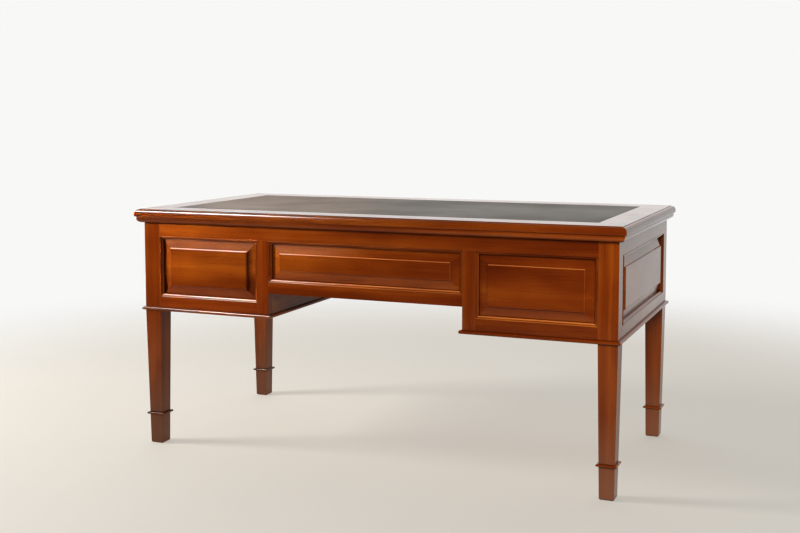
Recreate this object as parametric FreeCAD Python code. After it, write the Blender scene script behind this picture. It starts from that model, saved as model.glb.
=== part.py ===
import FreeCAD, Part
import math
import os
from FreeCAD import Vector

# Panelled mahogany writing desk: a leather-lined top, two pedestals of drawers either side of a
# kneehole, a panelled front towards the visitor, drawers towards the sitter, four tapered legs.
# Origin on the floor under the middle of the desk, +X right seen from the panelled front,
# +Y towards the sitter, +Z up. All lengths are in millimetres.

# Overall sizes
desk_height = 775.0
top_width = 1600.0
top_depth = 800.0
top_overhang = 24.0

# Top: mitred border, core board, leather, thumb-moulded nose and the moulding under it
top_board_thickness = 25.0
border_width = 99.0
leather_thickness = 1.5
core_tongue_length = 8.0
core_tongue_thickness = 8.0
thumb_width = 13.0
thumb_drop = 12.0
thumb_fillet = 2.0
nose_round = 3.5
edge_moulding_height = 19.0
edge_moulding_setback = 5.3
edge_moulding_radius = 13.0

# Legs and their collars
post_size = 57.0
foot_size = 43.0
foot_chamfer = 3.0
collar_height = 96.0
collar_thickness = 7.0
collar_projection = 7.3

# Carcase frames
pedestal_height = 306.0
kneehole_width = 640.0
frame_thickness = 25.0
stile_width = 38.5
front_top_rail_height = 61.5
front_bottom_rail_height = 45.0
front_centre_height = 227.0
front_centre_rail_height = 34.0
back_top_rail_height = 41.0
back_bottom_rail_height = 30.0
drawer_rail_height = 20.0
centre_opening_height = 90.0
tenon_length = 20.0
tenon_thickness = 10.0
tenon_setback = 7.0
tenon_shoulder_share = 0.25

# Boards inside the pedestals and the bead round their foot
inner_side_thickness = 18.0
bottom_board_thickness = 9.0
bottom_groove_depth = 6.0
bead_height = 10.5
bead_projection = 9.0

# Raised panels and the mouldings planted round them
panel_setback = 11.0
panel_tongue_thickness = 8.0
panel_tongue_length = 7.0
panel_groove_clearance = 1.0
panel_bevel_width = 28.0
panel_bevel_rise = 5.5
panel_field_step = 4.5
panel_field_round_share = 0.85
panel_moulding_width = 10.0
panel_moulding_bead = 3.5
panel_moulding_proud = 1.5
panel_moulding_lip = 3.0

# Runners, kickers and stops
runner_height = 16.0
runner_bearing = 19.0
guide_height = 8.0
kicker_height = 16.0
stop_length = 40.0
stop_height = 6.0
stop_clearance = 0.3
stop_place_shares = (0.25, 0.75)

# Drawers
drawer_gap = 1.0
drawer_running_clearance = 0.3
drawer_front_thickness = 20.0
drawer_front_bead = 4.0
drawer_side_thickness = 12.0
drawer_side_drop = 6.0
drawer_lap = 12.0
drawer_back_drop = 5.0
drawer_bottom_thickness = 6.0
drawer_bottom_groove = 5.0
drawer_bottom_height = 8.0
pedestal_back_space = 127.0
centre_back_space = 247.0
tail_count = 4
tail_end_share = 0.64
tail_base_share = 0.44

# Brass pulls: oval plate, two posts, a swinging bail
pull_spacing = 68.0
plate_length = 92.0
plate_height = 58.0
plate_thickness = 2.0
plate_edge = 0.8
plate_bevel = 2.5
post_flange_radius = 6.0
post_flange_height = 1.5
post_neck_radius = 3.5
post_cove_height = 3.5
post_ball_radius = 6.0
stud_radius = 2.2
nut_across_flats = 9.0
nut_thickness = 4.0
pivot_projection = 17.0
pin_radius = 2.0
pin_clearance = 0.1
bail_radius = 2.5
bail_drop = 29.0
bail_bend_radius = 5.0
bail_end_gap = 0.8
centre_pull_distance = 340.0

# Blocks and screws that hold the top
block_length = 45.0
block_width = 22.0
block_height = 20.0
screw_radius = 2.0
screw_head_radius = 4.0
screw_head_height = 2.5
screw_bite = 12.0
end_block_share = 0.4

# Cuts run this far past the faces they open
overrun = 1.0

# Places worked out from the sizes above
half_width = top_width / 2 - top_overhang
half_depth = top_depth / 2 - top_overhang
carcase_top = desk_height - top_board_thickness
box_bottom = carcase_top - pedestal_height
knee = kneehole_width / 2
stile_edge = knee + stile_width
post_edge = half_width - post_size
end_edge = half_depth - post_size
inner_face = knee + inner_side_thickness
frame_back = half_depth - frame_thickness
end_back = half_width - frame_thickness
front_opening_top = carcase_top - front_top_rail_height
front_opening_bottom = box_bottom + front_bottom_rail_height
centre_bottom = carcase_top - front_centre_height
centre_opening_bottom = centre_bottom + front_centre_rail_height
drawers_top = carcase_top - back_top_rail_height
drawers_bottom = box_bottom + back_bottom_rail_height
pedestal_opening_height = (drawers_top - drawers_bottom - drawer_rail_height) / 2
divider_bottom = drawers_bottom + pedestal_opening_height
divider_top = divider_bottom + drawer_rail_height
centre_drawer_bottom = drawers_top - centre_opening_height
board_top = drawers_bottom - runner_height
pedestal_drawer_depth = half_depth + frame_back - pedestal_back_space
centre_drawer_depth = half_depth + frame_back - centre_back_space
groove_depth = panel_tongue_length + panel_groove_clearance
pivot_y = half_depth + pivot_projection

SIDES = {"left": -1, "right": 1}
ENDS = {"front": -1, "back": 1}
UP = Vector(0, 0, 1)
nodes = {}


# Helpers

def block(xs, ys, zs):
    """Box between pairs of coordinates, given in any order."""
    xs, ys, zs = sorted(xs), sorted(ys), sorted(zs)
    return Part.makeBox(xs[1] - xs[0], ys[1] - ys[0], zs[1] - zs[0], Vector(xs[0], ys[0], zs[0]))


def face_block(face, along, depth, zs):
    """Box on one side of the carcase: along it, by depth from its outer face inwards, by height."""
    sign = -1 if face in ("front", "left") else 1
    reach = half_depth if face in ("front", "back") else half_width
    across = [sign * (reach - d) for d in depth]
    if face in ("front", "back"):
        return block(along, across, zs)
    return block(across, along, zs)


def on_face(shape, face, along, z):
    """Places a shape made for a face at y = 0, with +Y into the carcase, on one side of it."""
    angle = {"front": 0, "right": 90, "back": 180, "left": -90}[face]
    place = {"front": Vector(along, -half_depth, z), "back": Vector(along, half_depth, z),
             "left": Vector(-half_width, along, z), "right": Vector(half_width, along, z)}[face]
    placed = shape.copy()
    placed.rotate(Vector(0, 0, 0), UP, angle)
    placed.translate(place)
    return placed


def laid_flat(shape, x, y, z):
    """Turns a frame made upright, with its depth along +Y, so that its depth is along +Z."""
    placed = shape.copy()
    placed.rotate(Vector(0, 0, 0), Vector(1, 0, 0), 90)
    placed.translate(Vector(x, y, z))
    return placed


def outline(place, start, steps):
    """Closed wire from a start point: a pair is a straight run, (middle, end) pairs are an arc."""
    edges = []
    here = start
    for step in steps + [start]:
        if isinstance(step[0], tuple):
            edges.append(Part.Arc(place(*here), place(*step[0]), place(*step[1])).toShape())
            here = step[1]
        else:
            edges.append(Part.LineSegment(place(*here), place(*step)).toShape())
            here = step
    return Part.Wire(edges)


def arc_middle(centre, radius, degrees):
    """Point of a circle, for the middle of an arc."""
    angle = math.radians(degrees)
    return (centre[0] + radius * math.cos(angle), centre[1] + radius * math.sin(angle))


def mitred_strip(profile, length, across):
    """One strip along X at z = -across / 2: profile is (inwards, depth), ends cut at 45 degrees."""
    start, steps = profile
    base = -across / 2

    def place(inwards, depth):
        return Vector(-length, depth, base + inwards)

    face = Part.Face(outline(place, start, steps))
    bar = face.extrude(Vector(2 * length, 0, 0))
    box = bar.BoundBox
    low, high = box.ZMin - overrun, box.ZMax
    corners = [(-length / 2 + low - base, low), (length / 2 - low + base, low),
               (length / 2 - high + base, high), (-length / 2 + high - base, high)]
    points = [Vector(x, box.YMin - overrun, z) for x, z in corners]
    wedge = Part.Face(Part.makePolygon(points + points[:1]))
    return bar.common(wedge.extrude(Vector(0, box.YLength + 2 * overrun, 0)))


def mitred_frame(profile, width, height):
    """Four mitred strips round a rectangle in the XZ plane: bottom, left, top, right."""
    strips = []
    for turn in range(4):
        length, across = (width, height) if turn % 2 == 0 else (height, width)
        strip = mitred_strip(profile, length, across)
        strip.rotate(Vector(0, 0, 0), Vector(0, 1, 0), 90 * turn)
        strips.append(strip)
    return strips


def frustum(low_size, high_size, y0, y1):
    """Four-sided taper along Y, centred on it: sizes are (x, z) at each end."""
    (x0, z0), (x1, z1) = low_size, high_size
    return Part.makeWedge(-x0 / 2, y0, -z0 / 2, -z1 / 2, -x1 / 2, x0 / 2, y1, z0 / 2, z1 / 2, x1 / 2)


def cut_by(pieces, tools):
    """Each piece with the tools cut out of it."""
    return [piece.cut(tools) for piece in pieces]


def node(name, *solids):
    """Keeps the solids of one named piece."""
    nodes[name] = Part.makeCompound([s for shape in solids for s in shape.Solids])


# Frame members

def rail(face, along, zs):
    """Rail with a tenon at each end."""
    body = face_block(face, along, (0, frame_thickness), zs)
    shoulder = tenon_shoulder_share * (zs[1] - zs[0])
    tenon = face_block(face, (along[0] - tenon_length, along[1] + tenon_length),
                       (tenon_setback, tenon_setback + tenon_thickness),
                       (zs[0] + shoulder, zs[1] - shoulder))
    return body.fuse(tenon).removeSplitter()


def stile(face, along, zs):
    """Stile with a tenon up into the top rail."""
    body = face_block(face, along, (0, frame_thickness), zs)
    shoulder = tenon_shoulder_share * (along[1] - along[0])
    tenon = face_block(face, (along[0] + shoulder, along[1] - shoulder),
                       (tenon_setback, tenon_setback + tenon_thickness),
                       (zs[1] - overrun, zs[1] + tenon_length))
    return body.fuse(tenon).removeSplitter()


def both_sides(along, side):
    """A stretch of the right half, or its mirror on the left half."""
    return tuple(sorted(SIDES[side] * a for a in along))


def panel_groove(face, along, zs):
    """Space that a panel's tongue needs in the frame round it."""
    return face_block(face, (along[0] - groove_depth, along[1] + groove_depth),
                      (panel_setback, panel_setback + panel_tongue_thickness),
                      (zs[0] - groove_depth, zs[1] + groove_depth))


def raised_panel(width, height):
    """Panel with a tongue all round, a bevelled margin and a round-edged field, centred on Y."""
    tongue = 2 * panel_tongue_length
    slab = block((-(width + tongue) / 2, (width + tongue) / 2),
                 (panel_setback, panel_setback + panel_tongue_thickness),
                 (-(height + tongue) / 2, (height + tongue) / 2))
    margin = 2 * panel_moulding_width
    field = margin + 2 * panel_bevel_width
    bevel_top = panel_setback - panel_bevel_rise
    field_size = (width - field, height - field)
    bevel = frustum(field_size, (width - margin, height - margin),
                    bevel_top, panel_setback)
    field_top = bevel_top - panel_field_step
    raised = frustum(field_size, field_size, field_top, bevel_top)
    arrises = [e for e in raised.Edges if all(v.Y < (field_top + bevel_top) / 2 for v in e.Vertexes)]
    raised = raised.makeFillet(panel_field_round_share * panel_field_step, arrises)
    return slab.fuse([bevel, raised]).removeSplitter()


def panel_moulding_profile():
    """Bead at the frame's edge, a quirk, then an ovolo falling to the panel."""
    radius = panel_moulding_width - panel_moulding_bead
    spring = panel_setback - panel_moulding_lip
    centre = (panel_moulding_bead, spring)
    bead = ((panel_moulding_bead / 2, -panel_moulding_proud), (panel_moulding_bead, 0))
    ovolo = (arc_middle(centre, radius, -45), (panel_moulding_width, spring))
    return ((0, panel_setback),
            [(0, 0), bead, (panel_moulding_bead, spring - radius), ovolo,
             (panel_moulding_width, panel_setback)])


def panelled(face, along, zs):
    """Raised panel and its four mouldings for an opening on one side of the carcase."""
    width, height = along[1] - along[0], zs[1] - zs[0]
    middle = sum(along) / 2, sum(zs) / 2
    panel = on_face(raised_panel(width, height), face, *middle)
    strips = mitred_frame(panel_moulding_profile(), width, height)
    return panel, [on_face(s, face, *middle) for s in strips]


# Legs

def leg_size_at(z):
    """Width of the tapered leg at a height."""
    share = (z - foot_chamfer) / (box_bottom - foot_chamfer)
    return foot_size + share * (post_size - foot_size)


def leg_middle(side_x, side_y):
    """Plan position of a leg's axis."""
    return side_x * (half_width - post_size / 2), side_y * (half_depth - post_size / 2)


def leg(side_x, side_y):
    """Square post that tapers on four sides below the carcase, with a chamfered foot."""
    foot = foot_size - 2 * foot_chamfer
    sole = frustum((foot, foot), (foot_size, foot_size), 0, foot_chamfer)
    taper = frustum((foot_size, foot_size), (post_size, post_size),
                    foot_chamfer, box_bottom)
    post = frustum((post_size, post_size), (post_size, post_size),
                   box_bottom, carcase_top)
    whole = sole.fuse([taper, post]).removeSplitter()
    return laid_flat(whole, *leg_middle(side_x, side_y), 0)


def half_round_profile(height, projection):
    """Half-round nosing that stands out of a rectangle's edge."""
    nose = projection - height / 2
    return ((0, 0), [(-nose, 0), ((-projection, height / 2), (-nose, height)), (0, height)])


def collar(side_x, side_y, post):
    """Four half-round strips mitred round the leg, fitted to its taper."""
    size = leg_size_at(collar_height)
    profile = half_round_profile(collar_thickness, collar_projection)
    middle = leg_middle(side_x, side_y)
    strips = [laid_flat(s, *middle, collar_height) for s in mitred_frame(profile, size, size)]
    return cut_by(strips, [post])


# Top

def top_border():
    """Four mitred border boards with the thumb-moulded nose: back, left, front, right."""
    spring = top_board_thickness - thumb_fillet - thumb_drop
    bend = math.sqrt(1 / 2)
    under = (arc_middle((nose_round, nose_round), nose_round, 225), (0, nose_round))
    thumb = ((thumb_width * (1 - bend), spring + thumb_drop * bend), (thumb_width, spring + thumb_drop))
    profile = ((nose_round, 0), [under, (0, spring), thumb, (thumb_width, top_board_thickness),
                                 (border_width, top_board_thickness), (border_width, 0)])
    strips = mitred_frame(profile, top_width, top_depth)
    return [laid_flat(s, 0, 0, carcase_top) for s in strips]


def top_edge_moulding():
    """Four mitred strips of ovolo under the top's nose."""
    reach = top_overhang - edge_moulding_setback
    centre = (edge_moulding_radius, edge_moulding_radius)
    ovolo = (arc_middle(centre, edge_moulding_radius, 225), (0, edge_moulding_radius))
    profile = ((reach, 0), [(edge_moulding_radius, 0), ovolo, (0, edge_moulding_height),
                            (reach, edge_moulding_height)])
    strips = mitred_frame(profile, top_width - 2 * edge_moulding_setback,
                          top_depth - 2 * edge_moulding_setback)
    return [laid_flat(s, 0, 0, carcase_top - edge_moulding_height) for s in strips]


def core_board():
    """Board under the leather, with a tongue all round that enters the border."""
    x, y = top_width / 2 - border_width, top_depth / 2 - border_width
    board = block((-x, x), (-y, y), (carcase_top, desk_height - leather_thickness))
    low = carcase_top + (top_board_thickness - core_tongue_thickness) / 2
    tongue = block((-x - core_tongue_length, x + core_tongue_length),
                   (-y - core_tongue_length, y + core_tongue_length),
                   (low, low + core_tongue_thickness))
    return board.fuse(tongue).removeSplitter()


def leather():
    """Leather laid between the border boards, flush with them."""
    x, y = top_width / 2 - border_width, top_depth / 2 - border_width
    return block((-x, x), (-y, y), (desk_height - leather_thickness, desk_height))


def fixing_places():
    """Middle of each glue block: along the front and back rails, and on the ends."""
    pedestal_middle = (knee + half_width) / 2
    y = frame_back - block_width / 2
    x = end_back - block_width / 2
    rows = [(sx * px, sy * y, True) for px in (knee / 2, pedestal_middle)
            for sx in (-1, 1) for sy in (-1, 1)]
    ends = [(sx * x, sy * end_edge * end_block_share, False) for sx in (-1, 1) for sy in (-1, 1)]
    return rows + ends


def fixing_block(x, y, along_x):
    """Glue block in the corner between a top rail and the top."""
    dx, dy = (block_length, block_width) if along_x else (block_width, block_length)
    return block((x - dx / 2, x + dx / 2), (y - dy / 2, y + dy / 2),
                 (carcase_top - block_height, carcase_top))


def fixing_screw(x, y):
    """Countersunk screw up through a block into the border."""
    low = carcase_top - block_height
    head = Part.makeCone(screw_head_radius, screw_radius, screw_head_height, Vector(x, y, low), UP)
    shank = Part.makeCylinder(screw_radius, block_height + screw_bite - screw_head_height,
                              Vector(x, y, low + screw_head_height), UP)
    return head.fuse(shank).removeSplitter()


# Drawers

def tails(x0, y_base, y_end, zs):
    """Dovetails on a drawer side's end, wider at the end than at the base."""
    pitch = (zs[1] - zs[0]) / tail_count
    made = []
    for i in range(tail_count):
        middle = zs[0] + (i + 1 / 2) * pitch
        base, end = tail_base_share * pitch / 2, tail_end_share * pitch / 2
        points = [Vector(x0, y, z) for y, z in ((y_base, middle - base), (y_end, middle - end),
                                                (y_end, middle + end), (y_base, middle + base))]
        face = Part.Face(Part.makePolygon(points + points[:1]))
        made.append(face.extrude(Vector(drawer_side_thickness, 0, 0)))
    return made


def cock_bead(width, height):
    """Half-round bead round the edge of a drawer front, made for a face at y = 0."""
    radius = drawer_front_bead / 2
    bead = ((radius, -radius), (drawer_front_bead, 0))
    return mitred_frame(((0, 0), [bead]), width, height)


def drawer(name, along, zs, depth, pull_places):
    """Front, dovetailed sides and back, bottom and pulls for an opening on the sitter's side."""
    x0, x1 = along[0] + drawer_gap, along[1] - drawer_gap
    front_z = (zs[0] + drawer_gap, zs[1] - drawer_gap)
    side_z = (zs[0] + drawer_running_clearance, zs[1] - drawer_side_drop)
    front_back = half_depth - drawer_front_thickness
    back_y = half_depth - depth
    back_front = back_y + drawer_side_thickness
    bottom_z = side_z[0] + drawer_bottom_height
    back_z = (bottom_z + drawer_bottom_thickness, side_z[1] - drawer_back_drop)

    sides = []
    for x in (x0, x1 - drawer_side_thickness):
        wide = (x, x + drawer_side_thickness)
        body = block(wide, (back_front, front_back), side_z)
        heel = block(wide, (back_y, back_front), (side_z[0], back_z[0]))
        joints = tails(x, front_back, front_back + drawer_lap, side_z)
        joints += tails(x, back_front, back_y, back_z)
        sides.append(body.fuse([heel] + joints).removeSplitter())

    inset = drawer_side_thickness - drawer_bottom_groove
    bottom = block((x0 + inset, x1 - inset), (back_y, front_back + drawer_bottom_groove),
                   (bottom_z, bottom_z + drawer_bottom_thickness))
    beads = [on_face(b, "back", (x0 + x1) / 2, sum(front_z) / 2)
             for b in cock_bead(x1 - x0, front_z[1] - front_z[0])]
    front = block((x0, x1), (front_back, half_depth), front_z).fuse(beads).removeSplitter()
    back = block((x0, x1), (back_y, back_front), back_z)
    sides = cut_by(sides, [bottom])

    mounts, bails, studs = [], [], []
    for place in pull_places:
        fixed, bail, holes = pull(place, sum(zs) / 2)
        mounts += fixed
        bails.append(bail)
        studs += holes
    node(name + "_front", front.cut(sides + [bottom] + studs))
    node(name + "_box", *sides, back.cut(sides), bottom)
    node(name + "_pull_mounts", *mounts)
    suffixes = ("",) if len(bails) == 1 else ("_left", "_right")
    for suffix, bail in zip(suffixes, bails):
        node(name + "_bail" + suffix, bail)


# Pulls

def oval(length, height, x, y, z):
    """Ellipse facing +Y, as a wire."""
    ellipse = Part.Ellipse(Vector(0, 0, 0), length / 2, height / 2).toShape()
    ellipse.rotate(Vector(0, 0, 0), Vector(1, 0, 0), 90)
    ellipse.translate(Vector(x, y, z))
    return Part.Wire(ellipse)


def back_plate(x, z):
    """Oval plate with a straight edge and a bevelled rim."""
    rim = oval(plate_length, plate_height, x, half_depth, z)
    edge = Part.Face(rim).extrude(Vector(0, plate_edge, 0))
    low = oval(plate_length, plate_height, x, half_depth + plate_edge, z)
    high = oval(plate_length - 2 * plate_bevel, plate_height - 2 * plate_bevel, x,
                half_depth + plate_thickness, z)
    return edge.fuse(Part.makeLoft([low, high], True, True)).removeSplitter()


def pull_post(x, z):
    """Turned post: flange, cove and ball head with a cross hole, and a stud through the front."""
    foot = plate_thickness
    cove_low, cove_high = foot + post_flange_height, foot + post_flange_height + post_cove_height
    ball_low = pivot_projection - math.sqrt(post_ball_radius ** 2 - post_neck_radius ** 2)
    run = post_flange_radius - post_neck_radius
    bend = math.sqrt(1 / 2)
    cove = ((post_flange_radius - run * bend, cove_high - post_cove_height * bend),
            (post_neck_radius, cove_high))
    ball = ((post_ball_radius, pivot_projection), (0, pivot_projection + post_ball_radius))

    def place(radius, y):
        return Vector(x + radius, half_depth + y, z)

    profile = outline(place, (0, foot), [(post_flange_radius, foot), (post_flange_radius, cove_low),
                                         cove, (post_neck_radius, ball_low), ball])
    turned = Part.Face(profile).revolve(Vector(x, half_depth, z), Vector(0, 1, 0), 360)
    hole = Part.makeCylinder(pin_radius + pin_clearance, 2 * post_ball_radius + 2 * overrun,
                             Vector(x - post_ball_radius - overrun, pivot_y, z), Vector(1, 0, 0))
    return turned.fuse(stud(x, z)).cut(hole).removeSplitter()


def stud(x, z):
    """Stud of a pull post, from inside the drawer to the post's foot."""
    tail = drawer_front_thickness + nut_thickness
    return Part.makeCylinder(stud_radius, tail + plate_thickness, Vector(x, half_depth - tail, z),
                             Vector(0, 1, 0))


def nut(x, z):
    """Hexagon nut behind the drawer front."""
    radius = nut_across_flats / math.sqrt(3)
    y = half_depth - drawer_front_thickness - nut_thickness
    turns = [math.radians(60 * i) for i in range(7)]
    corners = [Vector(x + radius * math.cos(t), y, z + radius * math.sin(t)) for t in turns]
    return Part.Face(Part.makePolygon(corners)).extrude(Vector(0, nut_thickness, 0)).cut(stud(x, z))


def bail(x, z):
    """Bowed handle: pins that enter the posts from outside, tight bends and one long bow."""
    head = pull_spacing / 2 + post_ball_radius + bail_end_gap
    bow_end, bow_start, bend_turn = bail_bow(head)

    def place(across, down):
        return Vector(x + across, pivot_y, z - down)

    def bend_point(degrees):
        turn = math.radians(degrees)
        return (head + bail_bend_radius * math.sin(turn), bail_bend_radius * (1 - math.cos(turn)))

    middle = bend_point(bend_turn / 2)
    right = Part.Arc(place(head, 0), place(*middle), place(*bow_start)).toShape()
    bow = Part.Arc(place(*bow_start), place(0, bail_drop), place(*bow_end)).toShape()
    left = Part.Arc(place(*bow_end), place(-middle[0], middle[1]), place(-head, 0)).toShape()
    section = Part.Wire(Part.Circle(place(head, 0), Vector(1, 0, 0), bail_radius).toShape())
    rod = Part.Wire([right, bow, left]).makePipeShell([section], True, False)
    pin_length = post_ball_radius * 2 + bail_end_gap
    pins = [Part.makeCylinder(pin_radius, pin_length, place(s * head, 0), Vector(-s, 0, 0))
            for s in (-1, 1)]
    return rod.fuse(pins).removeSplitter()


def bail_bow(head):
    """Ends of the bow, tangent to the bends: found by turning the bend until the bow has its drop."""
    low, high = 90.0, 180.0
    for _ in range(60):
        turn = (low + high) / 2
        angle = math.radians(turn)
        across = head + bail_bend_radius * math.sin(angle)
        down = bail_bend_radius * (1 - math.cos(angle))
        bow_radius = across / math.sin(angle)
        drop = down + bow_radius * (1 + math.cos(angle))
        low, high = (turn, high) if drop > bail_drop else (low, turn)
    return (-across, down), (across, down), turn


def pull(x, z):
    """Plate, posts and nuts of one pull, its bail, and the studs that its front is bored for."""
    posts = [x - pull_spacing / 2, x + pull_spacing / 2]
    studs = [stud(p, z) for p in posts]
    fixed = [back_plate(x, z).cut(studs)]
    fixed += [pull_post(p, z) for p in posts] + [nut(p, z) for p in posts]
    return fixed, bail(x, z), studs


# Runners, kickers and stops

def pedestal_runners(side, z):
    """Rabbeted runners either side of a pedestal drawer: a bearing strip with a guide beside it."""
    top = z + guide_height
    inner = block(both_sides((inner_face, stile_edge + runner_bearing), side), (-frame_back, frame_back),
                  (z - runner_height, z))
    inner_guide = block(both_sides((inner_face, stile_edge), side), (-frame_back, frame_back),
                        (z - overrun, top))
    outer = block(both_sides((post_edge - runner_bearing, post_edge), side), (-frame_back, frame_back),
                  (z - runner_height, z))
    outer_guide = block(both_sides((post_edge, end_back), side), (-end_edge, end_edge),
                        (z - runner_height, top))
    return [inner.fuse(inner_guide).removeSplitter(), outer.fuse(outer_guide).removeSplitter()]


def kickers(side):
    """Strips over the upper drawer and the centre drawer that stop them tipping when open."""
    zs = (drawers_top, drawers_top + kicker_height)
    strips = ((inner_face, stile_edge + runner_bearing), (post_edge - runner_bearing, post_edge),
              (knee - runner_bearing, knee))
    return [block(both_sides(s, side), (-frame_back, frame_back), zs) for s in strips]


def stops(along, z):
    """Small blocks on the rail under a drawer that its front meets when shut."""
    near = half_depth - drawer_front_thickness - stop_clearance
    places = [along[0] + share * (along[1] - along[0]) for share in stop_place_shares]
    return [block((x - stop_length / 2, x + stop_length / 2), (frame_back, near), (z, z + stop_height))
            for x in places]


# Visitor's side and ends

centre_stretch = (-knee, knee)
front_openings = {"left": both_sides((stile_edge, post_edge), "left"), "centre": centre_stretch,
                  "right": both_sides((stile_edge, post_edge), "right")}
front_lows = {"left": front_opening_bottom, "centre": centre_opening_bottom,
              "right": front_opening_bottom}
front_top = rail("front", (-post_edge, post_edge), (front_opening_top, carcase_top))
front_stiles = [stile("front", both_sides((knee, stile_edge), s), (box_bottom, front_opening_top))
                for s in SIDES]
front_bottoms = [rail("front", front_openings[s], (box_bottom, front_opening_bottom)) for s in SIDES]
front_centre = rail("front", centre_stretch, (centre_bottom, centre_opening_bottom))
front_grooves = [panel_groove("front", front_openings[n], (front_lows[n], front_opening_top))
                 for n in front_openings]

end_stretch = (-end_edge, end_edge)
end_heights = ((front_opening_top, carcase_top), (box_bottom, front_opening_bottom))
end_rails = {s: [rail(s, end_stretch, zs) for zs in end_heights] for s in SIDES}
end_grooves = [panel_groove(s, end_stretch, (front_opening_bottom, front_opening_top)) for s in SIDES]

# Sitter's side

back_top = rail("back", (-post_edge, post_edge), (drawers_top, carcase_top))
back_stiles = [stile("back", both_sides((knee, stile_edge), s), (box_bottom, drawers_top))
               for s in SIDES]
back_heights = ((divider_bottom, divider_top), (box_bottom, drawers_bottom))
back_rails = {s: [rail("back", both_sides((stile_edge, post_edge), s), zs) for zs in back_heights]
              for s in SIDES}
back_centre = rail("back", centre_stretch,
                   (centre_drawer_bottom - drawer_rail_height, centre_drawer_bottom))

# Pedestal boards: the bottoms sit in grooves in everything round them

inner_sides = [block(both_sides((knee, inner_face), s), (-frame_back, frame_back),
                     (box_bottom, carcase_top)) for s in SIDES]
legs = {(fy, sx): leg(SIDES[sx], ENDS[fy]) for fy in ENDS for sx in SIDES}
bottoms = [block(both_sides((inner_face - bottom_groove_depth, end_back + bottom_groove_depth), s),
                 (-frame_back - bottom_groove_depth, frame_back + bottom_groove_depth),
                 (board_top - bottom_board_thickness, board_top)) for s in SIDES]
bottoms = cut_by(bottoms, list(legs.values()))

# Joints are cut: mortises in the legs, stiles and top rails, grooves for panels and bottoms

front_rails = [front_top] + front_bottoms + [front_centre]
all_end_rails = end_rails["left"] + end_rails["right"]
all_back_rails = [back_top, back_centre] + back_rails["left"] + back_rails["right"]
mortising = front_rails + all_end_rails + all_back_rails
front_top = front_top.cut(front_stiles + front_grooves)
back_top = back_top.cut(back_stiles)
front_stiles = cut_by(front_stiles, front_bottoms + [front_centre] + front_grooves + bottoms)
back_stiles = cut_by(back_stiles, all_back_rails[1:] + bottoms)
front_bottoms = cut_by(front_bottoms, front_grooves + bottoms)
front_centre = front_centre.cut(front_grooves)
inner_sides = cut_by(inner_sides, bottoms)

for (fy, sx), post in legs.items():
    node("leg_" + fy + "_" + sx, post.cut(mortising + front_grooves + end_grooves))
node("leg_collars", *[strip for (fy, sx), post in legs.items()
                      for strip in collar(SIDES[sx], ENDS[fy], post)])
node("front_top_rail", front_top)
node("front_stiles", *front_stiles)
node("front_bottom_rails", *front_bottoms)
node("front_centre_rail", front_centre)

front_mouldings, end_mouldings = [], []
for name, along in front_openings.items():
    panel, strips = panelled("front", along, (front_lows[name], front_opening_top))
    node("front_" + name + "_panel", panel)
    front_mouldings += strips
node("front_panel_mouldings", *front_mouldings)
for side in SIDES:
    panel, strips = panelled(side, end_stretch, (front_opening_bottom, front_opening_top))
    node(side + "_end_panel", panel)
    node(side + "_end_rails", *cut_by(end_rails[side], end_grooves + bottoms))
    end_mouldings += strips
node("end_panel_mouldings", *end_mouldings)

node("back_top_rail", back_top)
node("back_centre_rail", back_centre)
node("back_stiles", *back_stiles)
for i, side in enumerate(SIDES):
    node("back_" + side + "_drawer_rails", *cut_by(back_rails[side], bottoms))
    node(side + "_inner_side", inner_sides[i])
node("pedestal_bottoms", *bottoms)

beads = [laid_flat(strip, SIDES[side] * (knee + half_width) / 2, 0, box_bottom) for side in SIDES
         for strip in mitred_frame(half_round_profile(bead_height, bead_projection),
                                   half_width - knee, 2 * half_depth)]
node("base_beads", *beads)

# Drawer support and drawers

pedestal_levels = {"upper": divider_top, "lower": drawers_bottom}
runners = [r for side in SIDES for z in pedestal_levels.values() for r in pedestal_runners(side, z)]
runners += [block(both_sides((knee - runner_bearing, knee), s), (-frame_back, frame_back),
                  (centre_drawer_bottom - runner_height, centre_drawer_bottom)) for s in SIDES]
node("drawer_runners", *runners)
node("drawer_kickers", *[k for side in SIDES for k in kickers(side)])

all_stops = stops(centre_stretch, centre_drawer_bottom)
drawer("drawer_centre", centre_stretch, (centre_drawer_bottom, drawers_top), centre_drawer_depth,
       (-centre_pull_distance / 2, centre_pull_distance / 2))
for side in SIDES:
    stretch = both_sides((stile_edge, post_edge), side)
    for level, z in pedestal_levels.items():
        all_stops += stops(stretch, z)
        drawer("drawer_" + level + "_" + side, stretch, (z, z + pedestal_opening_height),
               pedestal_drawer_depth, (sum(stretch) / 2,))
node("drawer_stops", *all_stops)

# Top

core = core_board()
screws = [fixing_screw(x, y) for x, y, _ in fixing_places()]
for name, board in zip(("back", "left", "front", "right"), top_border()):
    node("top_border_" + name, board.cut([core] + screws))
node("top_core_board", core)
node("writing_leather", leather())
node("top_edge_moulding", *top_edge_moulding())
node("top_fixing_blocks", *cut_by([fixing_block(*place) for place in fixing_places()], screws))
node("top_fixing_screws", *screws)

os.makedirs("parts", exist_ok=True)
for name, shape in nodes.items():
    shape.exportStep(os.path.join("parts", name + ".step"))
print(len(nodes), "nodes,", sum(len(shape.Solids) for shape in nodes.values()), "solids")
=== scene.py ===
# %% [markdown]
# A leather-topped writing desk in polished mahogany
#
# The desk's solids come ready made: legs, rails, panels, mouldings, drawers and brass pulls, each as its own
# object. This lesson gives them their finishes, makes the one soft piece, the leather of the writing surface,
# and sets up the floor, the light and the camera.

# %% Load the solids
import math

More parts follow.
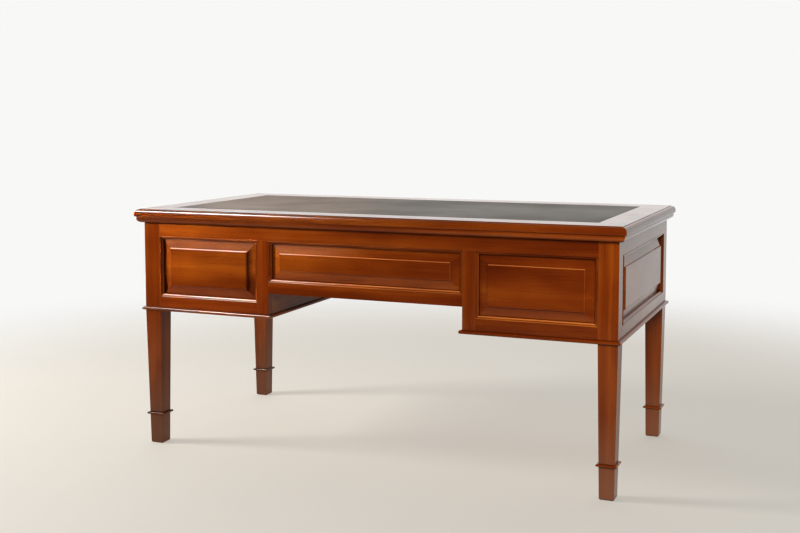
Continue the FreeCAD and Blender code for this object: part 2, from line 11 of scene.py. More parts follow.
import bmesh
import bpy
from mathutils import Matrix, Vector


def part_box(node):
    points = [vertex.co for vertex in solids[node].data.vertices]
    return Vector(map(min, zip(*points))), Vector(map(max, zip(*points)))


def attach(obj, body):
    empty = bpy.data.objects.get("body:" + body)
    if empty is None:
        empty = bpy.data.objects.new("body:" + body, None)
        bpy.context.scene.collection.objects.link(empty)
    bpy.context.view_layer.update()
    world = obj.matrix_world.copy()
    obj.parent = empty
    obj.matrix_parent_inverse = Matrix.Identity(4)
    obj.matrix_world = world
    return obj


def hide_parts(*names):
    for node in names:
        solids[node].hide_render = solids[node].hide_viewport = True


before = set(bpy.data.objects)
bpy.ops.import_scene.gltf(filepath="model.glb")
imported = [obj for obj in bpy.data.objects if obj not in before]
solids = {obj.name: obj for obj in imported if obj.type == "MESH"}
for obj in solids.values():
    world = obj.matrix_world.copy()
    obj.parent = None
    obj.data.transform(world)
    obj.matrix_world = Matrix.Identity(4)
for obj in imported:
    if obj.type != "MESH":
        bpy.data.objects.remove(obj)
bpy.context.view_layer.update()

scene = bpy.context.scene

# %% [markdown]
# The camera stands to the right of the panelled front, a little above the writing surface. Its place was found
# from corners of the desk, so here it is only written down. The lens is moderately long and the picture is
# shifted down a little, which keeps the legs upright in the picture.

# %% Camera
camera_data = bpy.data.cameras.new("camera")
camera = bpy.data.objects.new("camera", camera_data)
scene.collection.objects.link(camera)
camera.location = (1.42964, -3.49952, 1.08667)
camera.rotation_euler = (1.489554, 0.001295, 0.395558)
camera_data.sensor_width = 36.0
camera_data.lens = 51.8416
camera_data.shift_y = -0.07585
scene.camera = camera
print("camera at", tuple(camera.location))

# %% [markdown]
# Polished wood shows what is around it, so the surroundings matter as much as the lamps. A pale wall behind the
# desk and to its left gives the bright reflections on the top and on the end, and a dimmer room in front, above
# and to the right keeps the colour of the front deep. One background does both: its brightness goes by the
# angle to the wall. What the camera sees behind the desk is plain pale, whichever way it looks.

# %% Surroundings
scene.view_settings.view_transform = "Standard"
scene.view_settings.look = "High Contrast"
BACK_WALL = (0.78, 0.80, 0.80, 1.0)
DIM_ROOM = (0.11, 0.105, 0.10, 1.0)
PALE_BACKDROP = (0.66, 0.66, 0.655, 1.0)
TO_THE_WALL = (-0.42, 0.90, 0.10)
WALL_STARTS = 0.10


def pick(sockets, key):
    """The socket of that identifier or name."""
    return next(s for s in sockets if key in (s.identifier, s.name))


def add(tree, kind, values=None, **settings):
    """A node with its settings, whose inputs are given as numbers or as sockets to link."""
    node = tree.nodes.new("ShaderNode" + kind)
    for name, value in settings.items():
        setattr(node, name, value)
    for key, value in (values or {}).items():
        target = pick(node.inputs, key)
        if isinstance(value, bpy.types.NodeSocket):
            tree.links.new(value, target)
        else:
            target.default_value = value
    return node


def out(node, key=0):
    """An output socket, the first one unless it is named."""
    return node.outputs[0] if key == 0 else pick(node.outputs, key)


world = bpy.data.worlds.new("studio")
scene.world = world
world.use_nodes = True
tree = world.node_tree
direction = add(tree, "TexCoord")
facing_wall = add(tree, "VectorMath", {"Vector": out(direction, "Generated"), "Vector_001": TO_THE_WALL},
                  operation="DOT_PRODUCT")
share = add(tree, "MapRange", {"Value": out(facing_wall, "Value"), "From Min": WALL_STARTS, "From Max": 1.0},
            interpolation_type="SMOOTHSTEP")
room = add(tree, "Mix", {"Factor_Float": out(share), "A_Color": DIM_ROOM, "B_Color": BACK_WALL},
           data_type="RGBA")
seen = add(tree, "LightPath")
shown = add(tree, "Mix", {"Factor_Float": out(seen, "Is Camera Ray"), "A_Color": out(room, "Result_Color"),
                          "B_Color": PALE_BACKDROP}, data_type="RGBA")
backdrop = tree.nodes["Background"]
tree.links.new(out(shown, "Result_Color"), backdrop.inputs["Color"])
print("surroundings: room", DIM_ROOM[:3], "wall", BACK_WALL[:3])

# %% [markdown]
# All lamps are area lamps, because the size of a lamp sets how soft its highlight is. Most of them are linked
# to the solids that they are for, so that the light of one place doesn't spill on another. One lamp leaves no
# reflection, and one does nothing else.

# %% A lamp
WINDOW_LIGHT = (1.0, 0.97, 0.92)
SKY_LIGHT = (0.74, 0.91, 1.0)
ALL_ROUND = 180.0


def lamp(name, place, aim, size, power, colour=WINDOW_LIGHT, beam=ALL_ROUND, only_on=(),
         diffuse=True, gloss=True):
    """A square area lamp turned to what it lights: all pieces or some, their colour, their polish or both."""
    data = bpy.data.lights.new(name, "AREA")
    data.size = size
    data.energy = power
    data.color = colour
    data.spread = math.radians(beam)
    piece = bpy.data.objects.new(name, data)
    scene.collection.objects.link(piece)
    piece.location = place
    piece.rotation_euler = (Vector(aim) - Vector(place)).to_track_quat("-Z", "Y").to_euler()
    piece.visible_camera = False
    piece.visible_diffuse = diffuse
    piece.visible_glossy = gloss
    if only_on:
        lit = bpy.data.collections.new(name + "_lights")
        for target in only_on:
            lit.objects.link(solids.get(target) or bpy.data.objects[target])
        piece.light_linking.receiver_collection = lit
    print(name, "at", place)


print("light of a window", WINDOW_LIGHT, "and of the sky", SKY_LIGHT)

# %% [markdown]
# A narrow beam from the left lights the left of the panels and fades towards the right. The left end faces it,
# so there it is weaker. A large soft lamp in front, on the right, fills in the colour of the rest and leaves no
# reflection. Another one fills the sitter's side, and a low beam reaches under the nose of the top. Two windows
# are there for what the polish shows of the sky in them: a low one pales the upper slopes of the panels, and a
# high one draws the white lines along the rounded edges.

# %% Lamps
PANELLING = ("front_left_panel", "front_centre_panel", "front_right_panel", "front_panel_mouldings")
FRAMING = ("front_top_rail", "front_stiles", "front_bottom_rails", "front_centre_rail")
NOSE = ("top_border_front",)
UNDER_THE_NOSE = ("top_edge_moulding",)
LOW_STRIPS = ("base_beads", "leg_collars")
STRIPS = LOW_STRIPS + UNDER_THE_NOSE
LEFT_END = ("leg_front_left", "leg_back_left", "left_end_panel", "left_end_rails", "end_panel_mouldings")
TOP_BORDERS = ("top_border_left", "top_border_right", "top_border_back")
OFF_THE_FILL = TOP_BORDERS + ("drawer_", "front_left_panel")
FILLED = [name for name in solids if not name.startswith(OFF_THE_FILL)]
SITTERS_SIDE = [name for name in solids if name.startswith(("drawer_", "back_", "leg_back_"))]
FROM_THE_LEFT = {"place": (-4.8, -2.7, 2.1), "aim": (-1.25, -0.4, 0.95), "size": 0.9}

lamp("front_beam", **FROM_THE_LEFT, power=9.8, beam=12.5, only_on=PANELLING + FRAMING + NOSE)
lamp("end_beam", **FROM_THE_LEFT, power=7.4, beam=14.0, only_on=LEFT_END + LOW_STRIPS)
lamp("room_fill", (1.5, -2.5, 2.0), (1.1, -0.35, 0.55), size=1.2, power=17.0, beam=75.0, only_on=FILLED,
     gloss=False)
lamp("sitter_fill", (1.3, 3.6, 2.3), (0.0, 0.4, 0.5), size=1.8, power=60.0, only_on=SITTERS_SIDE)
lamp("under_beam", (-4.0, -3.2, 0.75), (-0.7, -0.4, 0.73), size=0.9, power=4.2, beam=25.0,
     only_on=UNDER_THE_NOSE)
lamp("low_window", (-2.3, -3.4, 1.55), (-0.4, -0.36, 0.65), size=1.3, power=5.5, colour=SKY_LIGHT)
lamp("high_window", (-2.9, -2.0, 4.2), (-0.5, -0.4, 0.75), size=1.3, power=210.0, colour=SKY_LIGHT,
     only_on=PANELLING + STRIPS + NOSE, diffuse=False)

# %% [markdown]
# The floor is a plain pale disc that fades out towards its rim, so that no horizon line cuts the picture. It
# glows a little of its own, like a lit studio table, and a lamp of its own on the side of the windows lays the
# soft shadows of the legs.

# %% Floor
FLOOR_RADIUS = 4.0
FLOOR_FADE = (1.6, 3.6)
FLOOR_TONES = ((0.33, 0.315, 0.293, 1.0), (0.37, 0.355, 0.333, 1.0))
FLOOR_GLOW = (1.0, 0.96, 0.89, 1.0)
GLOW_STRENGTH = 0.34


def new_material(name):
    """An empty node material with its nodes and its surface shader."""
    material = bpy.data.materials.new(name)
    material.use_nodes = True
    return material, material.node_tree, material.node_tree.nodes["Principled BSDF"]


mesh = bpy.data.meshes.new("floor")
bm = bmesh.new()
bmesh.ops.create_circle(bm, cap_ends=True, radius=FLOOR_RADIUS, segments=96)
bm.to_mesh(mesh)
bm.free()
floor = bpy.data.objects.new("floor", mesh)
scene.collection.objects.link(floor)
material, tree, surface = new_material("pale_floor")
place = add(tree, "TexCoord")
far = add(tree, "VectorMath", {"Vector": out(place, "Object")}, operation="LENGTH")
fade = add(tree, "MapRange", {"Value": out(far, "Value"), "From Min": FLOOR_FADE[0], "From Max": FLOOR_FADE[1],
                              "To Min": 1.0, "To Max": 0.0}, interpolation_type="SMOOTHSTEP")
cloudy = add(tree, "TexNoise", {"Vector": out(place, "Object"), "Scale": 1.3, "Detail": 2.0})
tone = add(tree, "Mix", {"Factor_Float": out(cloudy), "A_Color": FLOOR_TONES[0], "B_Color": FLOOR_TONES[1]},
           data_type="RGBA")
tree.links.new(out(tone, "Result_Color"), surface.inputs["Base Color"])
tree.links.new(out(fade), surface.inputs["Alpha"])
surface.inputs["Roughness"].default_value = 0.9
surface.inputs["Emission Color"].default_value = FLOOR_GLOW
surface.inputs["Emission Strength"].default_value = GLOW_STRENGTH
mesh.materials.append(material)
lamp("floor_light", (-4.2, -1.6, 2.6), (-0.2, -0.2, 0.0), size=1.2, power=120.0, only_on=["floor"])
print("floor radius", FLOOR_RADIUS)

# %% [markdown]
# Grain runs along the board, so its pattern starts from coordinates that are turned to suit the board. They
# are Object coordinates in metres, so the scale of the pattern is the real one. A few small helpers stretch
# noise along the grain, turn values into colours and blend them.

# %% Grain of a board
AXES = {"X": ("X", "Y", "Z"), "Y": ("Y", "Z", "X"), "Z": ("Z", "X", "Y")}
ACROSS_A_STRIP = 0.2


def along_board(tree, place, along, shift):
    """Object coordinates turned so that their first axis runs along the board."""
    parts = add(tree, "SeparateXYZ", {"Vector": place})
    order = AXES[along]
    turned = add(tree, "CombineXYZ", {"X": out(parts, order[0]), "Y": out(parts, order[1]),
                                      "Z": out(parts, order[2])})
    return out(add(tree, "Mapping", {"Vector": out(turned), "Location": shift}))


def board_coordinates(tree, along, shift):
    """Coordinates along one board, or along two kinds of strip told apart by the way their faces point."""
    place = add(tree, "TexCoord")
    first = along_board(tree, out(place, "Object"), along[0], shift)
    if len(along) == 1:
        return first
    second = along_board(tree, out(place, "Object"), along[1], shift)
    facing = add(tree, "SeparateXYZ", {"Vector": out(place, "Normal")})
    tilt = add(tree, "Math", {"Value": out(facing, along[0])}, operation="ABSOLUTE")
    which = add(tree, "Math", {"Value": out(tilt), "Value_001": ACROSS_A_STRIP}, operation="GREATER_THAN")
    either = add(tree, "Mix", {"Factor_Float": out(which), "A_Vector": first, "B_Vector": second},
                 data_type="VECTOR")
    return out(either, "Result_Vector")


def stretched(tree, vector, along, across, detail, rough=0.5):
    """Noise drawn out along the grain: repeats per metre along it and across it."""
    scaled = add(tree, "VectorMath", {"Vector": vector, "Vector_001": (along, across, across)},
                 operation="MULTIPLY")
    return out(add(tree, "TexNoise", {"Vector": out(scaled), "Scale": 1.0, "Detail": detail,
                                      "Roughness": rough}))


def steps(tree, value, stops):
    """Colours at stops along a value."""
    ramp = add(tree, "ValToRGB", {"Fac": value})
    marks = ramp.color_ramp.elements
    while len(marks) < len(stops):
        marks.new(0.5)
    for mark, (at, colour) in zip(marks, stops):
        mark.position = at
        mark.color = (*colour, 1.0)
    return out(ramp)


def ranged(tree, value, low, high, to_low=0.0, to_high=1.0):
    """A value stretched from one range to another, held at the ends."""
    return out(add(tree, "MapRange", {"Value": value, "From Min": low, "From Max": high,
                                      "To Min": to_low, "To Max": to_high}))


def mixed(tree, how, factor, first, second):
    """Two colours blended by a factor."""
    return out(add(tree, "Mix", {"Factor_Float": factor, "A_Color": first, "B_Color": second},
                   data_type="RGBA", blend_type=how), "Result_Color")


def maths(tree, how, first, second):
    """A sum, difference or product of two values."""
    return out(add(tree, "Math", {"Value": first, "Value_001": second}, operation=how))


print("grain directions:", ", ".join(AXES))

# %% [markdown]
# Mahogany is red-brown with broad soft ribbons that run along the board, thin darker streaks in them, short
# dark pores, and slow clouds of shade across it. Each is noise, stretched along the grain by its own amount.
# The lines of a plain board wander a little, those of a straight strip hardly do.

# %% Figure of the wood
RED_BROWN = ((0.30, (0.146, 0.032, 0.0032)), (0.50, (0.202, 0.052, 0.0055)), (0.70, (0.266, 0.081, 0.0095)))
STREAK_SHADE = (0.55, 0.42, 0.32, 1.0)
CLOUD_SHADE = (0.74, 0.64, 0.58, 1.0)
PORE_SHADE = (0.40, 0.28, 0.22, 1.0)
# repeats per metre along and across the grain, then detail and its roughness
WAVER = (1.6, 5.0, 1.0)
RIBBONS = (0.9, 22.0, 2.0)
STREAKS = (5.0, 210.0, 3.0, 0.6)
PORES = (260.0, 1500.0, 1.0)
CLOUDS = (4.0, 9.0, 2.0)


def figure(tree, board, ribbon, wander):
    """The colour of the wood, with the streaks and the pores in it."""
    waver = stretched(tree, board, *WAVER)
    bent = add(tree, "VectorMath", {"Vector": waver, "Scale": wander}, operation="SCALE")
    line = out(add(tree, "VectorMath", {"Vector": board, "Vector_001": out(bent)}, operation="ADD"))
    along, across, detail = RIBBONS
    ribbons = stretched(tree, line, along, across * ribbon, detail)
    streaks = stretched(tree, line, *STREAKS)
    pores = stretched(tree, line, *PORES)
    clouds = stretched(tree, board, *CLOUDS)
    colour = steps(tree, ribbons, RED_BROWN)
    colour = mixed(tree, "MULTIPLY", ranged(tree, streaks, 0.50, 0.72, 0.0, 0.40), colour, STREAK_SHADE)
    colour = mixed(tree, "MULTIPLY", ranged(tree, clouds, 0.62, 0.36), colour, CLOUD_SHADE)
    colour = mixed(tree, "MULTIPLY", ranged(tree, pores, 0.60, 0.72, 0.0, 0.6), colour, PORE_SHADE)
    return colour, streaks, pores


print("ribbons per metre across the grain:", RIBBONS[1])

# %% [markdown]
# Edges and corners are coloured apart from the faces. Sharp edges are painted a little paler, partly as wear
# by hands and cloths and partly as a painted highlight along the arris, and inside corners are painted darker
# as shade. A Bevel node finds the edges, because its normal differs from the face's there, and an Ambient
# Occlusion node finds the corners. The same Bevel node rounds the arrises to the eye, which is what gives a
# real edge its thin line of light.

# %% Edges and corners
ARRIS = 0.0012
CORNER_REACH = 0.006


def arris(tree):
    """The rounded normal of the surface, and a mask that is one along its sharp edges."""
    rounded = add(tree, "Bevel", {"Radius": ARRIS}, samples=6)
    flat = add(tree, "NewGeometry")
    likeness = add(tree, "VectorMath", {"Vector": out(rounded), "Vector_001": out(flat, "True Normal")},
                   operation="DOT_PRODUCT")
    return out(rounded), ranged(tree, out(likeness, "Value"), 0.98, 0.80)


def corner(tree):
    """A mask that is one in inside corners."""
    open_sky = add(tree, "AmbientOcclusion", {"Distance": CORNER_REACH}, samples=6)
    return ranged(tree, out(open_sky, "AO"), 0.75, 0.35)


print("arris", ARRIS, "corner reach", CORNER_REACH)

# %% [markdown]
# Some of the look belongs to a place. The feet are greyer towards the floor. Slopes of the raised panels and of
# their mouldings are painted paler where they point up, a painted highlight, and the strips right under the top
# are left without it, dark and dull. The height of a point or the way a face points tells these places apart,
# and the colour is mixed by it.

# %% Worn feet and painted highlights on slopes
GREYED = (0.20, 0.094, 0.056, 1.0)
SLOPE_HIGHLIGHT_TONE = (0.58, 0.25, 0.085, 1.0)
WORN_FEET = (0.25, 0.04)
FOOT_WEAR = 0.75
UNDER_THE_TOP = (0.676, 0.680)
SLOPED = (0.94, 0.75)
FACING_UP = (-0.2, 0.5)
SLOPE_HIGHLIGHT = 0.62


def height(tree):
    """The height of a point above the floor."""
    return out(add(tree, "SeparateXYZ", {"Vector": out(add(tree, "TexCoord"), "Object")}), "Z")


def greyed_feet(tree, colour):
    """The colour, greyer towards the floor."""
    return mixed(tree, "MIX", ranged(tree, height(tree), *WORN_FEET, 0.0, FOOT_WEAR), colour, GREYED)


def painted_slope_highlight(tree, colour, faces):
    """The colour with a painted highlight on slopes that point up, and a mask that is one close under the top.
    """
    pointing = add(tree, "SeparateXYZ", {"Vector": out(add(tree, "TexCoord"), "Normal")})
    tilt = add(tree, "Math", {"Value": out(pointing, faces)}, operation="ABSOLUTE")
    # painted highlight: slopes that point up are mixed towards a paler tone
    slope_highlight = maths(tree, "MULTIPLY", ranged(tree, out(tilt), *SLOPED),
                   ranged(tree, out(pointing, "Z"), *FACING_UP, 0.0, SLOPE_HIGHLIGHT))
    shaded = ranged(tree, height(tree), *UNDER_THE_TOP)
    slope_highlight = maths(tree, "MULTIPLY", slope_highlight, maths(tree, "SUBTRACT", 1.0, shaded))
    return mixed(tree, "MIX", slope_highlight, colour, SLOPE_HIGHLIGHT_TONE), shaded


print("feet greyed below", WORN_FEET[0], "strips dull above", UNDER_THE_TOP[0])

# %% [markdown]
# The polished mahogany itself takes its colour from the figure, the wear and the painted light and shade at
# edges, corners and slopes. The polish is one clear layer: a fairly low roughness that hand marks and pores
# vary.
# Its reflection is tinted warm where the wood is seen straight on and stays white at a low angle, as through an
# amber polish.

# %% Polished mahogany
ARRIS_WEAR_AND_HIGHLIGHT = 0.35
WORN_AND_LIT_ARRIS = (0.44, 0.15, 0.035, 1.0)
CORNER_DEPTH = 0.9
CORNER_SHADE = (0.22, 0.16, 0.14, 1.0)
HAND_MARKS = (7.0, 9.0, 3.0)
DULLED = 0.85
POLISH_TINT = (1.0, 0.96, 0.93, 1.0)
POLISH_IOR = 1.5
WANDER = 0.030


def mahogany(name, along, shift, ribbon=1.0, faces=None, wander=WANDER, worn=False, faded=0.0):
    """Polished wood with its grain along one axis, or two for mitred strips.

    A raised panel names the axis that it faces, legs have worn feet, and a piece may be faded.
    """
    material, tree, surface = new_material(name)
    board = board_coordinates(tree, along, shift)
    colour, streaks, pores = figure(tree, board, ribbon, wander)
    marks = stretched(tree, board, *HAND_MARKS)
    gloss = maths(tree, "ADD", ranged(tree, marks, 0.35, 0.70, 0.09, 0.16),
                  ranged(tree, pores, 0.55, 0.75, 0.0, 0.06))
    normal, edge = arris(tree)
    # paler arrises: partly wear, partly a painted highlight line along each edge
    colour = mixed(tree, "MIX", maths(tree, "MULTIPLY", edge, ARRIS_WEAR_AND_HIGHLIGHT), colour, WORN_AND_LIT_ARRIS)
    if worn:
        colour = greyed_feet(tree, colour)
    if faded:
        colour = mixed(tree, "MIX", faded, colour, GREYED)
    if faces:
        # painted highlight on the upward slopes, taken off close under the top
        colour, shaded = painted_slope_highlight(tree, colour, faces)
        gloss = maths(tree, "ADD", gloss, maths(tree, "MULTIPLY", shaded, DULLED))
    # painted shade: the colour is darkened in inside corners, where shade falls
    colour = mixed(tree, "MULTIPLY", maths(tree, "MULTIPLY", corner(tree), CORNER_DEPTH), colour, CORNER_SHADE)
    relief = maths(tree, "ADD", maths(tree, "MULTIPLY", streaks, 0.15), maths(tree, "MULTIPLY", pores, -0.5))
    bump = add(tree, "Bump", {"Height": relief, "Strength": 0.025, "Distance": 0.0004, "Normal": normal})
    tree.links.new(colour, surface.inputs["Base Color"])
    tree.links.new(gloss, surface.inputs["Roughness"])
    tree.links.new(out(bump), surface.inputs["Normal"])
    surface.inputs["IOR"].default_value = POLISH_IOR
    surface.inputs["Specular Tint"].default_value = POLISH_TINT
    return material


print("polish: index", POLISH_IOR, "tint", POLISH_TINT[:3])

# %% [markdown]
# Legs, rails, panels and borders are cut from different boards, so each kind has its own offset into the
# pattern, and its own width of ribbon. The ends are a little greyer than the front, as if faded by daylight.

# %% Boards
SIDES = ("left", "right")
FADED_END = 0.25
LONG_BORDER_WANDER = 0.002
SHORT_BORDER_WANDER = 0.010


def finish(material, *names):
    """Gives a finish to the named solids."""
    for name in names:
        slots = solids[name].data.materials
        slots.clear()
        slots.append(material)
    print(material.name, "on", len(names), "solids")


legs = ["leg_%s_%s" % (end, side) for end in ("front", "back") for side in SIDES]
finish(mahogany("mahogany_upright", "Z", (0.0, 0.5, 0.3), 1.1, worn=True), *legs,
       "front_stiles", "back_stiles")
finish(mahogany("mahogany_rail", "X", (0.3, 0.11, 0.05)), "front_top_rail", "front_bottom_rails",
       "front_centre_rail", "back_top_rail", "back_centre_rail", *["back_%s_drawer_rails" % s for s in SIDES])
finish(mahogany("mahogany_panel", "X", (0.9, 0.43, 0.27), 0.6, "Y"),
       *["front_%s_panel" % place for place in ("left", "centre", "right")])
finish(mahogany("mahogany_end_rail", "Y", (0.2, 0.31, 0.17), faded=FADED_END),
       *["%s_end_rails" % s for s in SIDES])
finish(mahogany("mahogany_end_panel", "Y", (0.7, 0.23, 0.41), 0.6, faded=FADED_END),
       *["%s_end_panel" % s for s in SIDES])
finish(mahogany("mahogany_inner_side", "Y", (0.5, 0.19, 0.31), 0.8), *["%s_inner_side" % s for s in SIDES])
finish(mahogany("mahogany_long_border", "X", (0.1, 0.61, 0.33), wander=LONG_BORDER_WANDER),
       "top_border_front", "top_border_back")
finish(mahogany("mahogany_short_border", "Y", (0.4, 0.51, 0.13), wander=SHORT_BORDER_WANDER),
       "top_border_left", "top_border_right")

# %% [markdown]
# Mouldings, beads and collars are thin strips with mitred corners. Each of these solids holds strips in two
# directions, so their finish tells them apart by the way the faces point, and turns the grain to suit. Strips
# are cut from straight stock, so their grain hardly wanders.

# %% Moulded strips
STRAIGHT = 0.004
finish(mahogany("mahogany_flat_strip", "XY", (0.5, 0.21, 0.07), 1.5, wander=STRAIGHT), *STRIPS)
finish(mahogany("mahogany_front_moulding", "XZ", (0.6, 0.37, 0.19), 1.5, "Y", STRAIGHT),
       "front_panel_mouldings")
finish(mahogany("mahogany_end_moulding", "YZ", (0.8, 0.29, 0.23), 1.5, wander=STRAIGHT, faded=FADED_END),
       "end_panel_mouldings")

# %% [markdown]
# The drawer fronts are one run of boards across the sitter's side, so they share a finish with a grain of its
# own.

# %% Drawer fronts
drawers = ["drawer_centre"] + ["drawer_%s_%s" % (level, s) for s in SIDES for level in ("upper", "lower")]
finish(mahogany("mahogany_drawer_front", "X", (1.3, 0.71, 0.53), 0.8), *[d + "_front" for d in drawers])

# %% [markdown]
# Drawer sides, bottoms and the parts inside the carcase are a plain pale wood, planed and left without polish.
# It is paler, duller and straighter in grain than the mahogany. The drawer boxes have boards in two directions,
# told apart in the same way as the strips.

# %% Lining wood
PALE_WOOD = ((0.30, (0.47, 0.285, 0.135)), (0.52, (0.59, 0.375, 0.195)), (0.74, (0.68, 0.465, 0.265)))
FIBRE_SHADE = (0.70, 0.58, 0.46, 1.0)
LINING_CORNER_SHADE = (0.50, 0.40, 0.32, 1.0)


def lining(name, along, shift):
    """Planed pale wood without polish."""
    material, tree, surface = new_material(name)
    board = board_coordinates(tree, along, shift)
    rings = stretched(tree, board, 1.2, 60.0, 3.0)
    fibres = stretched(tree, board, 12.0, 700.0, 2.0)
    colour = steps(tree, rings, PALE_WOOD)
    colour = mixed(tree, "MULTIPLY", ranged(tree, fibres, 0.45, 0.75, 0.0, 0.45), colour, FIBRE_SHADE)
    # painted shade: the pale wood is darkened in its inside corners
    colour = mixed(tree, "MULTIPLY", maths(tree, "MULTIPLY", corner(tree), 0.5), colour, LINING_CORNER_SHADE)
    normal, _ = arris(tree)
    bump = add(tree, "Bump", {"Height": fibres, "Strength": 0.2, "Distance": 0.0004, "Normal": normal})
    tree.links.new(colour, surface.inputs["Base Color"])
    tree.links.new(ranged(tree, fibres, 0.3, 0.7, 0.52, 0.68), surface.inputs["Roughness"])
    tree.links.new(out(bump), surface.inputs["Normal"])
    return material


finish(lining("lining_box", "XY", (0.0, 0.13, 0.29)), *[d + "_box" for d in drawers])
finish(lining("lining_inside", "Y", (0.3, 0.07, 0.11)), "drawer_runners", "drawer_kickers", "drawer_stops",
       "pedestal_bottoms", "top_fixing_blocks")
finish(lining("lining_core", "X", (0.2, 0.17, 0.37)), "top_core_board")

# %% [markdown]
# The pulls are cast brass, polished and then handled for years: bright where fingers rub, browner in the
# corners of the plates and round the posts.

# %% Brass
BRASS = ((0.30, (0.56, 0.37, 0.14)), (0.55, (0.66, 0.45, 0.18)), (0.75, (0.73, 0.53, 0.24)))
RUBBED_BRASS = (0.90, 0.72, 0.40, 1.0)
TARNISH = (0.32, 0.24, 0.16, 1.0)
material, tree, surface = new_material("old_brass")
place = add(tree, "TexCoord")
cloud = out(add(tree, "TexNoise", {"Vector": out(place, "Object"), "Scale": 38.0, "Detail": 2.0}))
fine = out(add(tree, "TexNoise", {"Vector": out(place, "Object"), "Scale": 420.0, "Detail": 2.0}))
normal, edge = arris(tree)
colour = steps(tree, cloud, BRASS)
colour = mixed(tree, "MIX", maths(tree, "MULTIPLY", edge, 0.5), colour, RUBBED_BRASS)
colour = mixed(tree, "MULTIPLY", maths(tree, "MULTIPLY", corner(tree), 0.8), colour, TARNISH)
bump = add(tree, "Bump", {"Height": fine, "Strength": 0.03, "Distance": 0.0003, "Normal": normal})
tree.links.new(colour, surface.inputs["Base Color"])
tree.links.new(ranged(tree, cloud, 0.3, 0.75, 0.28, 0.19), surface.inputs["Roughness"])
tree.links.new(out(bump), surface.inputs["Normal"])
surface.inputs["Metallic"].default_value = 1.0
finish(material, *[name for name in solids if name.endswith("_pull_mounts") or "_bail" in name])

# %% [markdown]
# The screws that hold the top are zinc plated steel, dull grey with a fine mottle.

# %% Steel
ZINC = ((0.35, (0.42, 0.42, 0.40)), (0.65, (0.62, 0.62, 0.60)))
material, tree, surface = new_material("zinc_steel")
place = add(tree, "TexCoord")
mottle = out(add(tree, "TexNoise", {"Vector": out(place, "Object"), "Scale": 600.0, "Detail": 3.0}))
bump = add(tree, "Bump", {"Height": mottle, "Strength": 0.1, "Distance": 0.0002})
tree.links.new(steps(tree, mottle, ZINC), surface.inputs["Base Color"])
tree.links.new(ranged(tree, mottle, 0.3, 0.7, 0.30, 0.48), surface.inputs["Roughness"])
tree.links.new(out(bump), surface.inputs["Normal"])
surface.inputs["Metallic"].default_value = 1.0
finish(material, "top_fixing_screws")

# %% [markdown]
# The writing surface is one sheet of leather, glued into a shallow recess between the border boards. It starts
# as a grid, is given its thickness by an extrusion, and its upper rim is rounded by a bevel, so that a fine
# seam shows all round. The top dips by a few hundredths of a millimetre here and there, as glued leather does.

# %% Leather sheet
DIPS = 0.00006
RIM = 0.0007
low, high = (Vector(c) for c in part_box("writing_leather"))
size = high - low
mesh = bpy.data.meshes.new("writing_leather_sheet")
bm = bmesh.new()
bmesh.ops.create_grid(bm, x_segments=70, y_segments=30, size=0.5)
bmesh.ops.scale(bm, vec=(size.x, size.y, 1.0), verts=bm.verts)
bmesh.ops.translate(bm, vec=((low.x + high.x) / 2, (low.y + high.y) / 2, low.z), verts=bm.verts)
lifted = bmesh.ops.extrude_face_region(bm, geom=bm.faces[:])["geom"]
top = [v for v in lifted if isinstance(v, bmesh.types.BMVert)]
bmesh.ops.translate(bm, vec=(0.0, 0.0, size.z), verts=top)
bmesh.ops.recalc_face_normals(bm, faces=bm.faces)
for v in top:
    waves = math.sin(v.co.x * 23.0 + v.co.y * 9.0) + math.sin(v.co.y * 31.0 - v.co.x * 13.0)
    v.co.z -= DIPS * (2.0 + waves) / 2
rim = [e for e in bm.edges if all(v.co.z > low.z + size.z / 2 for v in e.verts)
       and any(abs(f.normal.z) < 0.5 for f in e.link_faces)]
bmesh.ops.bevel(bm, geom=rim, offset=RIM, affect="EDGES", segments=3, profile=0.5, material=-1)
for face in bm.faces:
    face.smooth = True
bm.to_mesh(mesh)
bm.free()
leather = bpy.data.objects.new("writing_leather_sheet", mesh)
scene.collection.objects.link(leather)
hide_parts("writing_leather")
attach(leather, "carcase")
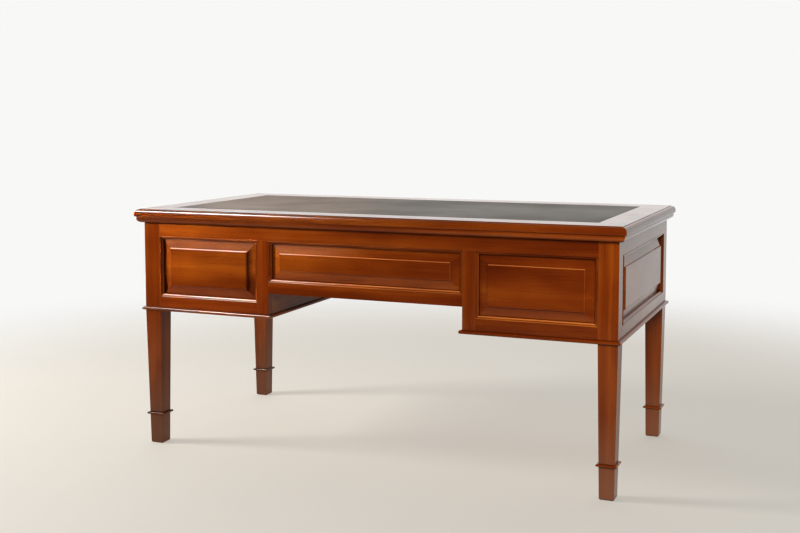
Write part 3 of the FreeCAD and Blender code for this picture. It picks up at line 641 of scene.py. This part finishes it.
print("leather sheet", [round(s, 4) for s in size], "faces", len(mesh.polygons))

# %% [markdown]
# The leather is brown-black hide with a fine pebble, worn a little smoother and paler where arms rest on it.
# Cells of a Voronoi texture are the pebble, and slow noise is the wear. Two lamps come last, because they are
# linked to the sheet: a small warm one behind the desk shows in the leather as the light of a wall does at a
# low angle, and one overhead keeps the whole top from going dark when it is looked down on.

# %% Leather finish
HIDE = ((0.35, (0.052, 0.036, 0.022)), (0.65, (0.074, 0.052, 0.033)))
BETWEEN_PEBBLES = (0.55, 0.55, 0.55, 1.0)
HIDE_IOR = 1.44
WARM_WALL = (1.0, 0.58, 0.36)
SHEET = (leather.name,)
material, tree, surface = new_material("black_hide")
place = add(tree, "TexCoord")
cells = add(tree, "TexVoronoi", {"Vector": out(place, "Object"), "Scale": 620.0}, feature="SMOOTH_F1")
pebble = out(cells, "Distance")
crease = out(add(tree, "TexNoise", {"Vector": out(place, "Object"), "Scale": 160.0, "Detail": 4.0}))
worn = out(add(tree, "TexNoise", {"Vector": out(place, "Object"), "Scale": 3.2, "Detail": 3.0}))
hide = steps(tree, worn, HIDE)
hide = mixed(tree, "MULTIPLY", ranged(tree, pebble, 0.35, 0.75, 0.0, 0.5), hide, BETWEEN_PEBBLES)
relief = maths(tree, "ADD", maths(tree, "MULTIPLY", pebble, -1.0), maths(tree, "MULTIPLY", crease, 0.8))
bump = add(tree, "Bump", {"Height": relief, "Strength": 0.25, "Distance": 0.0004})
tree.links.new(hide, surface.inputs["Base Color"])
tree.links.new(ranged(tree, worn, 0.3, 0.7, 0.50, 0.40), surface.inputs["Roughness"])
tree.links.new(out(bump), surface.inputs["Normal"])
surface.inputs["IOR"].default_value = HIDE_IOR
mesh.materials.append(material)
lamp("wall_glow", (-1.9, 2.7, 1.4), (-0.4, 0.0, 0.78), size=1.0, power=1.9, colour=WARM_WALL, only_on=SHEET)
lamp("top_light", (0.0, 0.0, 3.2), (0.0, 0.0, 0.78), size=2.0, power=45.0, only_on=TOP_BORDERS + SHEET)
print("leather finish", material.name)
